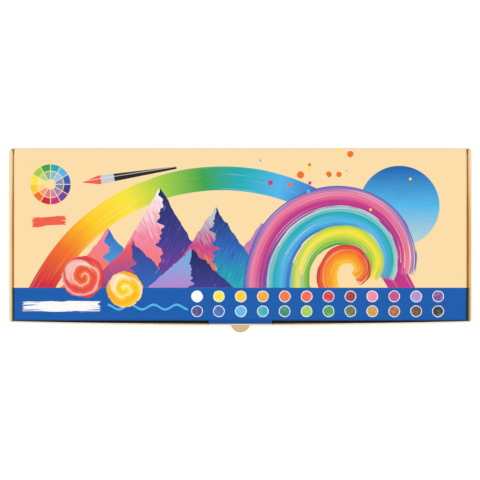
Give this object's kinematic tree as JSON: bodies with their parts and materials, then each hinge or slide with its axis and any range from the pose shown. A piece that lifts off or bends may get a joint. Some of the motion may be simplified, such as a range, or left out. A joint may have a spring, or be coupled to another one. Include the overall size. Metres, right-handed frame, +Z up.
{
  "type": "gouache paint box",
  "caption": "Flat carton with rolled side walls and a hinged tuck-front lid with a thumb tab, packed with rows of round capped jars of gouache paint.",
  "frame": {"origin": "centre of the underside of the carton's base", "axes": "+X along the long side, to the right seen from the front; +Y back to the lid's crease; +Z up"},
  "size_m": [0.3, 0.1195, 0.037],
  "materials": {
    "printed_board": "semi-matt print on cream board",
    "cream_board": "cream print on micro-fluted board",
    "kraft_board": "raw brown kraft liner",
    "jar_plastic": "clear jar with its paint showing",
    "cap_plastic": "satin, each cap tinted like its paint"
  },
  "bodies": {
    "tray": {"base_panel": "kraft_board", "back_wall": "cream_board", "front_wall": "cream_board", "left_outer_wall": "cream_board", "left_top_roll": "cream_board", "left_inner_wall": "kraft_board", "left_rear_corner_flap": "kraft_board", "left_front_corner_flap": "kraft_board", "right_outer_wall": "cream_board", "right_top_roll": "cream_board", "right_inner_wall": "kraft_board", "right_rear_corner_flap": "kraft_board", "right_front_corner_flap": "kraft_board", "rear_row_jars": "jar_plastic", "rear_row_caps": "cap_plastic", "middle_row_jars": "jar_plastic", "middle_row_caps": "cap_plastic", "front_row_jars": "jar_plastic", "front_row_caps": "cap_plastic"},
    "lid": {"lid_panel": "printed_board"},
    "tuck_flap": {"tuck_flap": "kraft_board"},
    "left_ear": {"left_ear": "kraft_board"},
    "right_ear": {"right_ear": "kraft_board"}
  },
  "joints": [
    {"name": "lid_hinge", "type": "hinge", "parent": "tray", "child": "lid", "pos_m": [0, 0.0561, 0.03655], "axis": [-1, 0, 0], "range_deg": [0, 180]},
    {"name": "tuck_crease", "type": "hinge", "parent": "lid", "child": "tuck_flap", "pos_m": [0, -0.0549, 0.03655], "axis": [-1, 0, 0], "range_deg": [0, 18]},
    {"name": "left_ear_crease", "type": "hinge", "parent": "lid", "child": "left_ear", "pos_m": [-0.14625, 0, 0.03655], "axis": [0, 1, 0], "range_deg": [0, 21.6]},
    {"name": "right_ear_crease", "type": "hinge", "parent": "lid", "child": "right_ear", "pos_m": [0.14625, 0, 0.03655], "axis": [0, -1, 0], "range_deg": [0, 21.6]}
  ],
  "couplings": [
    {"joint": "tuck_crease", "follows": "lid_hinge", "ratio": 0.1},
    {"joint": "left_ear_crease", "follows": "lid_hinge", "ratio": 0.12},
    {"joint": "right_ear_crease", "follows": "lid_hinge", "ratio": 0.12}
  ]
}
